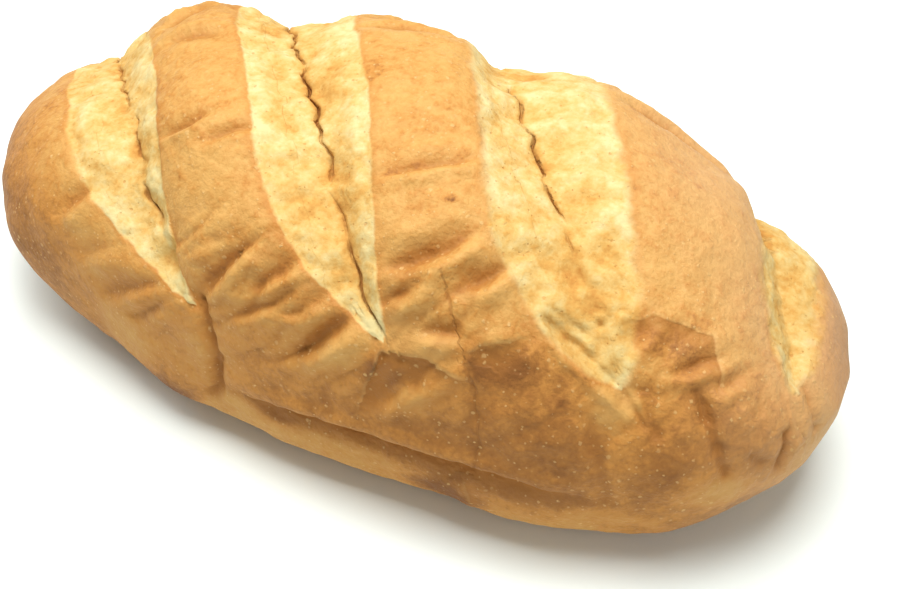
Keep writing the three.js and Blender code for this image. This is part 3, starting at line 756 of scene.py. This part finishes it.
def dots(place, scale, radius, share):  # round spots in a share of the cells
    inputs = {"Vector": place, "Scale": scale}
    wobble = dotShape["wobble"] * mottle(place, dotShape["wobbleScale"] * scale, 2)
    near = place.node("TexVoronoi", {}, inputs, "Distance") + wobble
    draw = place.node("SeparateColor", {}, {"Color": place.node("TexVoronoi", {}, inputs, "Color")})
    spot = 1 - near.step(dotShape["core"] * radius, radius)
    return spot * draw.step(1 - share, 1 - dotShape["core"] * share)


def layered(place, layers):
    return reduce(add, [dots(place, *layer) for layer in layers])


def weighed(skin, weights):
    return reduce(add, [weight * getattr(skin, name) for name, weight in weights.items()])


def unsigned(value):
    return value.maths("ABSOLUTE", value)


def readSkin(tree):  # what the finish of a place on the loaf depends on
    start = Sock(tree)
    place = start.node("TexCoord", {}, {}, "Object")
    skin = SimpleNamespace()
    lines = ("edge", "seam", "seamOn", "ledge", "ledgeOn")
    for name in (*lines, "furrow", "torn", "away", "station", "dip", "bake"):
        setattr(skin, name, start.node("Attribute", {"attribute_name": name}, {}, "Fac"))
    for name, (scale, detail) in crust["noises"].items():
        setattr(skin, name, mottle(place, scale, detail))
    skin.behind = start.node("SeparateXYZ", {}, {"Vector": place}, "Y").step(*bakedLook["behind"])
    level = start.node("SeparateXYZ", {}, {"Vector": place}, "Z")
    ragged = level + bakedLook["baseRagged"] * (skin.clouds + skin.patches)
    skin.bottom = 1 - ragged.step(*bakedLook["baseLevel"])
    soft = crumbLook["softness"]
    for more, stations in crumbLook["softer"]:
        soft = soft + more * skin.station.step(*stations)
    torn = skin.edge + crumbLook["edgePatches"] * soft * skin.patches + crumbLook["edgeSpecks"] * skin.specks
    skin.crumb = torn.step(0 - soft, soft)
    skin.hollow = skin.dip.maths("MAXIMUM", skin.dip, 0)
    unequal = crust["blisterBase"] + crust["blisterPatches"] * skin.patches
    skin.blisters = layered(place, crust["blisters"]) * unequal
    skin.pores = layered(place, crust["pores"])
    frayed = crumbLook["crackSpecks"] + crumbLook["crumbCrackSpecks"] * skin.crumb
    line = skin.seam + frayed * skin.specks + crumbLook["crackGrains"] * skin.grains
    skin.cracked = skin.seamOn * (1 - unsigned(line).step(*crumbLook["crackWidth"]))
    return skin


def bakedColour(skin):
    part = bakedLook
    ahead = (1 - skin.behind) * skin.station.step(*part["skirtStart"])
    skirtFrom = ahead + skin.behind * skin.station.step(*part["skirtStartBehind"])
    skirtTo = 1 - part["skirtLoss"] * skin.station.step(*part["skirtEnd"])
    skirt = skin.away.step(*part["skirtTurn"]) * (1 - skin.bottom) * skirtFrom * skirtTo
    # browner down the sides, partly real browning and partly painted shade
    bake = part["top"] + part["sides"] * skin.away.step(*part["sidesTurn"])
    bake = bake + part["skirt"] * skirt + part["base"] * skin.bottom + skin.bake * (1 - skin.bottom)
    # painted shade in the hollows and painted light on the bumps
    bake = bake + part["dip"] * skin.dip + part["hollow"] * skin.hollow
    calm = part["mottleTop"] - part["mottleLoss"] * skin.away.step(*part["mottleTurn"])
    bake = bake + calm * weighed(skin, part["mottle"])
    colour = bake.node("ValToRGB", {"stops": crust["baked"]}, {"Fac": bake})
    # paler, greyer crust towards the right end
    towardsPaleEnd = part["paleEnd"] * skin.station.step(*part["paleEndStation"]) * (part["paleEndBase"] + skin.clouds)
    colour = towardsPaleEnd.mix(colour, crust["paleEndColour"])
    rim = (skin.edge + part["rimRagged"] * skin.patches).step(*part["rimEdge"])
    rim = rim * (part["rimBase"] + part["rimClouds"] * skin.clouds)
    colour = (part["rim"] * rim).mix(colour, crust["rimColour"])
    # painted shadow on the low side below each ledge
    past = skin.ledge.step(*part["ledgeEdge"])
    below = skin.ledgeOn * past * (1 - skin.ledge.step(*part["ledgeFade"]))
    # painted shade: the valley colour in the furrows, under the ledges and in the deeper hollows
    valley = part["furrow"] * skin.furrow + part["shadeBelowLedge"] * below
    colour = (valley + part["deep"] * skin.hollow.step(*part["deepDip"])).mix(colour, crust["valleyShadeColour"])
    # a painted highlight along the proud edge of each ledge, in the pale blister colour
    brinkHighlight = skin.ledgeOn * skin.ledge.step(*part["brinkHighlightEdge"]) * (1 - past)
    return (part["blister"] * skin.blisters + part["brinkHighlight"] * brinkHighlight).mix(colour, crust["blisterAndHighlightColour"])


def crumbColour(skin):
    part = crumbLook
    besideCrack = skin.seamOn * (1 - unsigned(skin.seam).step(*part["crackSide"]))
    brown = part["pale"] + part["inner"] * skin.edge.step(*part["innerEdge"]) + skin.bake
    # the crumb is browner in its hollows and paler on its bumps, as painted shade and light
    brown = brown + part["sides"] * skin.away.step(*part["sidesTurn"]) + part["dip"] * skin.dip
    brown = brown + part["besideCrack"] * besideCrack + part["torn"] * skin.torn
    brown = brown + weighed(skin, part["mottle"])
    colour = brown.node("ValToRGB", {"stops": crust["crumb"]}, {"Fac": brown})
    shaded = skin.away.step(*part["shadeTurn"]) * (1 - skin.station.step(*part["shadeEnd"]))
    colour = (part["shade"] * shaded).mix(colour, crust["shadeColour"])
    return (part["pore"] * skin.pores).mix(colour, crust["rimColour"])


def crustBump(skin):
    height = weighed(skin, crust["bump"]) - skin.crumb * weighed(skin, crust["crumbBump"])
    height = height - crust["crackBump"] * skin.cracked
    height = height - crust["ledgeBump"] * skin.ledgeOn * skin.ledge.step(*crust["ledgeEdge"])
    settings = {"Strength": crust["bumpStrength"], "Distance": crust["bumpDepth"], "Height": height}
    return height.node("Bump", {}, settings)


def crustMaterial():
    material = bpy.data.materials.new("crust")
    material.use_nodes = True
    material.node_tree.nodes.clear()
    skin = readSkin(material.node_tree)
    colour = skin.crumb.mix(bakedColour(skin), crumbColour(skin))
    colour = (crumbLook["crack"] * skin.cracked).mix(colour, crust["crackColour"])
    roughness = crust["roughness"] + (crust["crumbRoughness"] - crust["roughness"]) * skin.crumb
    roughness = roughness + crust["patchRoughness"] * skin.patches
    shader = colour.node("BsdfPrincipled", {}, {
        "Base Color": colour, "Roughness": roughness, "Normal": crustBump(skin),
        "Specular IOR Level": crust["shine"],
    })
    colour.node("OutputMaterial", {}, {"Surface": shader})
    return material


loaf = buildLoaf()
loaf.data.materials.append(crustMaterial())
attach(loaf, "root")
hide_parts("loaf")
print("loaf dressed")

studio = {
    "floorSize": 6.0, "floorColour": (0.86, 0.92, 0.88, 1.0), "floorRoughness": 0.9,
    "skyColour": (1.0, 0.99, 0.97, 1.0), "skyStrength": 0.25,
    "lamps": {  # place, size, power
        "over": ((0.0, 0.04, 1.2), 0.7, 16.2),
        "side": ((-0.77, 0.0, 0.92), 0.6, 4.6),
        "rear": ((0.0, 0.77, 0.92), 0.6, 2.4),
        "front": ((0.3, -1.0, 0.5), 0.9, 1.1),
        "right": ((0.9, -0.35, 0.6), 0.6, 1.3),
    },
    "aim": (0.0, 0.0, 0.05),
}


def buildFloor():
    half = studio["floorSize"] / 2
    mesh = bpy.data.meshes.new("floor")
    corners = [(-half, -half, 0), (half, -half, 0), (half, half, 0), (-half, half, 0)]
    mesh.from_pydata(corners, [], [(0, 1, 2, 3)])
    material = bpy.data.materials.new("floor")
    material.use_nodes = True
    shader = material.node_tree.nodes["Principled BSDF"]
    shader.inputs["Base Color"].default_value = studio["floorColour"]
    shader.inputs["Roughness"].default_value = studio["floorRoughness"]
    mesh.materials.append(material)
    floor = bpy.data.objects.new("floor", mesh)
    bpy.context.scene.collection.objects.link(floor)


def aim(item, goal):
    item.rotation_euler = (Vector(goal) - item.location).to_track_quat("-Z", "Y").to_euler()


def buildLight():
    world = bpy.data.worlds.new("studio")
    world.use_nodes = True
    sky = world.node_tree.nodes["Background"]
    sky.inputs["Color"].default_value = studio["skyColour"]
    sky.inputs["Strength"].default_value = studio["skyStrength"]
    bpy.context.scene.world = world
    for name, (spot, size, power) in studio["lamps"].items():
        light = bpy.data.lights.new(name, "AREA")
        light.size, light.energy = size, power
        lamp = bpy.data.objects.new(name, light)
        lamp.location = spot
        bpy.context.scene.collection.objects.link(lamp)
        aim(lamp, studio["aim"])
    bpy.context.scene.view_settings.view_transform = "Standard"


shot = {  # the photograph's view
    "azimuth": 26.56, "elevation": 47.0, "distance": 0.46, "target": (0.0259, -0.0164, 0.045),
    "focalPixels": 1475.85, "imageWidth": 900, "sensor": 36.0,
}


def buildCamera():
    camera = bpy.data.cameras.new("camera")
    camera.sensor_width = shot["sensor"]
    camera.lens = shot["focalPixels"] * shot["sensor"] / shot["imageWidth"]
    holder = bpy.data.objects.new("camera", camera)
    azimuth, elevation = math.radians(shot["azimuth"]), math.radians(shot["elevation"])
    back = Vector((
        math.sin(azimuth) * math.cos(elevation),
        -math.cos(azimuth) * math.cos(elevation),
        math.sin(elevation),
    ))
    holder.location = Vector(shot["target"]) + back * shot["distance"]
    bpy.context.scene.collection.objects.link(holder)
    aim(holder, shot["target"])
    bpy.context.scene.camera = holder


buildFloor()
buildLight()
buildCamera()
print("studio set")
